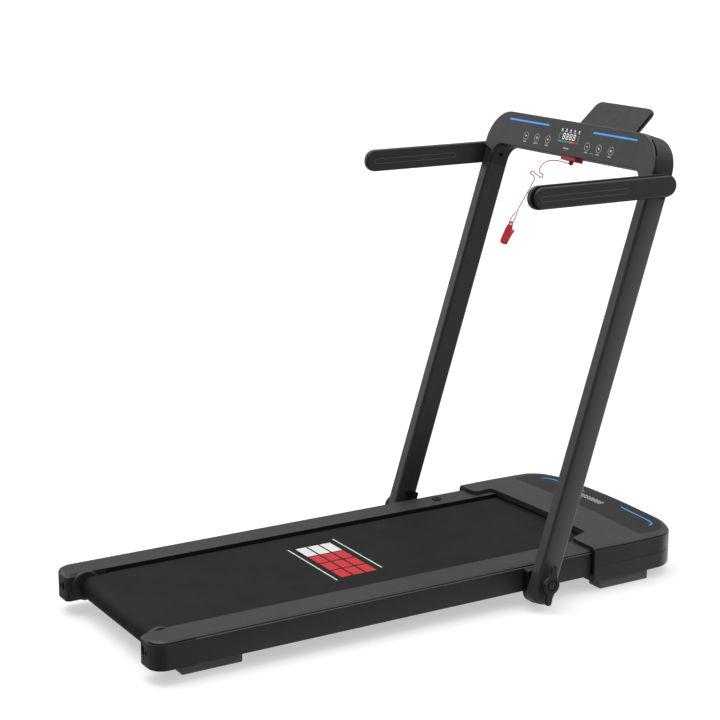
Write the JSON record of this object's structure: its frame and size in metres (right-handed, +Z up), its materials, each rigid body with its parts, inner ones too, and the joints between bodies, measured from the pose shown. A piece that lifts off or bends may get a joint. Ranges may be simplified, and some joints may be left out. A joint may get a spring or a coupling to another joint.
{
  "type": "folding treadmill",
  "caption": "Low folding treadmill with a walking belt between foot rails, a front motor hood and a hinged arch carrying a console, handles, a tablet rest and a safety key.",
  "frame": {"origin": "centre of the overall footprint, on the floor", "axes": "+X the walker's right, +Y forwards from the tail to the motor hood, +Z up"},
  "size_m": [0.7148, 1.4199, 1.107],
  "materials": {
    "rail_plastic": "fine textured",
    "frame_steel": "powder coated",
    "belt_rubber": "fine diamond texture",
    "deck_wood": "waxed laminate",
    "cushion_rubber": "moulded",
    "foot_rubber": "moulded",
    "bright_steel": "turned",
    "roller_steel": "turned",
    "bearing_steel": "ground",
    "hood_plastic": "fine textured",
    "tray_plastic": "fine textured",
    "panel_plastic": "smoked",
    "light_strip": "diffusing, lit blue",
    "motor_alloy": "cast",
    "rotor_iron": "laminated",
    "pulley_steel": "machined",
    "drive_rubber": "ribbed",
    "board_plastic": "circuit board",
    "socket_plastic": "moulded",
    "switch_plastic": "moulded",
    "upright_paint": "satin powder coat",
    "bush_plastic": "filled nylon",
    "bracket_paint": "powder coated",
    "bolt_steel": "black oxide",
    "knob_plastic": "fine textured",
    "console_plastic": "satin",
    "face_plastic": "matt with printed marks",
    "handle_plastic": "satin",
    "handle_panel": "satin",
    "handle_steel": "black",
    "tablet_plastic": "satin",
    "bracket_plastic": "satin",
    "key_plastic": "red",
    "cord_fabric": "braided, red",
    "clip_plastic": "red",
    "wheel_plastic": "moulded",
    "bumper_rubber": "moulded",
    "spigot_steel": "zinc plated"
  },
  "bodies": {
    "deck": {"axles": "bright_steel", "cross_members": "frame_steel", "deck_board": "deck_wood", "deck_cushions": "cushion_rubber", "drive_belt": "drive_rubber", "front_feet": "foot_rubber", "hood_cover": "hood_plastic", "hood_display_panel": "panel_plastic", "hood_light_strips": "light_strip", "hood_tray": "tray_plastic", "left_frame_tube": "frame_steel", "right_frame_tube": "frame_steel", "left_rail_cover": "rail_plastic", "right_rail_cover": "rail_plastic", "left_rear_cap": "rail_plastic", "right_rear_cap": "rail_plastic", "motor_controller": "board_plastic", "motor_housing": "motor_alloy", "pivot_bolts": "bolt_steel", "pivot_brackets": "bracket_paint", "power_inlet": "socket_plastic", "rail_bumpers": "bumper_rubber", "rear_feet": "foot_rubber", "tension_bolts": "bolt_steel", "walking_belt": "belt_rubber"},
    "front_roller": {"front_roller": "roller_steel", "front_roller_bearings": "bearing_steel", "roller_pulley": "pulley_steel"},
    "rear_roller": {"rear_roller": "roller_steel", "rear_roller_bearings": "bearing_steel"},
    "motor_rotor": {"motor_rotor": "rotor_iron"},
    "left_transport_wheel": {"left_transport_wheel": "wheel_plastic"},
    "right_transport_wheel": {"right_transport_wheel": "wheel_plastic"},
    "power_switch": {"power_switch": "switch_plastic"},
    "breaker_button": {"breaker_button": "switch_plastic"},
    "left_knob": {"left_knob": "knob_plastic"},
    "right_knob": {"right_knob": "knob_plastic"},
    "arch": {"left_upright": "upright_paint", "right_upright": "upright_paint", "pivot_bushes": "bush_plastic", "console_housing": "console_plastic", "console_face": "face_plastic", "console_light_strips": "light_strip", "console_board": "board_plastic", "key_sensor": "socket_plastic", "leg_spigots": "spigot_steel", "handle_bolts": "bolt_steel", "tablet_bracket": "bracket_plastic"},
    "left_handle": {"left_handle_inner": "handle_plastic", "left_handle_outer": "handle_panel", "left_handle_bar": "handle_steel"},
    "right_handle": {"right_handle_inner": "handle_plastic", "right_handle_outer": "handle_panel", "right_handle_bar": "handle_steel"},
    "tablet_holder": {"tablet_front_panel": "tablet_plastic", "tablet_back_shell": "tablet_plastic"},
    "safety_key": {"safety_key": "key_plastic", "safety_cord": "cord_fabric", "clip_front_jaw": "clip_plastic"},
    "clip_jaw": {"clip_back_jaw": "clip_plastic"}
  },
  "joints": [
    {"name": "upright_fold", "type": "hinge", "parent": "deck", "child": "arch", "pos_m": [0, 0.2545, 0.067], "axis": [1, 0, 0], "range_deg": [0, 107.8], "deforming": ["safety_cord", "clip_front_jaw", "clip_back_jaw"]},
    {"name": "left_handle_fold", "type": "hinge", "parent": "arch", "child": "left_handle", "pos_m": [-0.345, 0.54362, 0.9675], "axis": [1, 0, 0], "range_deg": [0, 72.2]},
    {"name": "right_handle_fold", "type": "hinge", "parent": "arch", "child": "right_handle", "pos_m": [0.345, 0.54362, 0.9675], "axis": [1, 0, 0], "range_deg": [0, 72.2]},
    {"name": "tablet_tilt", "type": "hinge", "parent": "arch", "child": "tablet_holder", "pos_m": [0, 0.59628, 1.00229], "axis": [1, 0, 0], "range_deg": [0, 30.2]},
    {"name": "safety_key_pull", "type": "slide", "parent": "arch", "child": "safety_key", "axis": [0, -0.3057, -0.9521], "range_m": [0, 0.012]},
    {"name": "clip_squeeze", "type": "hinge", "parent": "safety_key", "child": "clip_jaw", "pos_m": [0.00472, 0.35512, 0.82155], "axis": [0.9135, 0.3614, -0.1866], "range_deg": [0, 18], "stiffness_Nm_per_rad": 0.03, "springref_deg": -22.92},
    {"name": "left_knob_turn", "type": "hinge", "parent": "deck", "child": "left_knob", "pos_m": [-0.34, 0.2545, 0.067], "axis": [-1, 0, 0], "range_deg": [0, 450]},
    {"name": "right_knob_turn", "type": "hinge", "parent": "deck", "child": "right_knob", "pos_m": [0.34, 0.2545, 0.067], "axis": [1, 0, 0], "range_deg": [0, 450]},
    {"name": "front_roller_spin", "type": "hinge", "parent": "deck", "child": "front_roller", "pos_m": [0, 0.5275, 0.0635], "axis": [1, 0, 0], "continuous": true},
    {"name": "rear_roller_spin", "type": "hinge", "parent": "deck", "child": "rear_roller", "pos_m": [0, -0.6515, 0.0635], "axis": [1, 0, 0], "continuous": true},
    {"name": "motor_spin", "type": "hinge", "parent": "deck", "child": "motor_rotor", "pos_m": [0.12, 0.6335, 0.064], "axis": [1, 0, 0], "continuous": true},
    {"name": "left_wheel_spin", "type": "hinge", "parent": "deck", "child": "left_transport_wheel", "pos_m": [-0.226, 0.6425, 0.022], "axis": [1, 0, 0], "continuous": true},
    {"name": "right_wheel_spin", "type": "hinge", "parent": "deck", "child": "right_transport_wheel", "pos_m": [0.226, 0.6425, 0.022], "axis": [1, 0, 0], "continuous": true},
    {"name": "power_switch_rock", "type": "hinge", "parent": "deck", "child": "power_switch", "pos_m": [-0.06, 0.6985, 0.044], "axis": [0, 0, 1], "range_deg": [0, 8]},
    {"name": "breaker_press", "type": "slide", "parent": "deck", "child": "breaker_button", "axis": [0, -1, 0], "range_m": [0, 0.002], "stiffness_N_per_m": 600, "springref_m": -0.002}
  ],
  "couplings": [
    {"joint": "rear_roller_spin", "follows": "front_roller_spin", "ratio": 1},
    {"joint": "motor_spin", "follows": "front_roller_spin", "ratio": 2.3333}
  ]
}
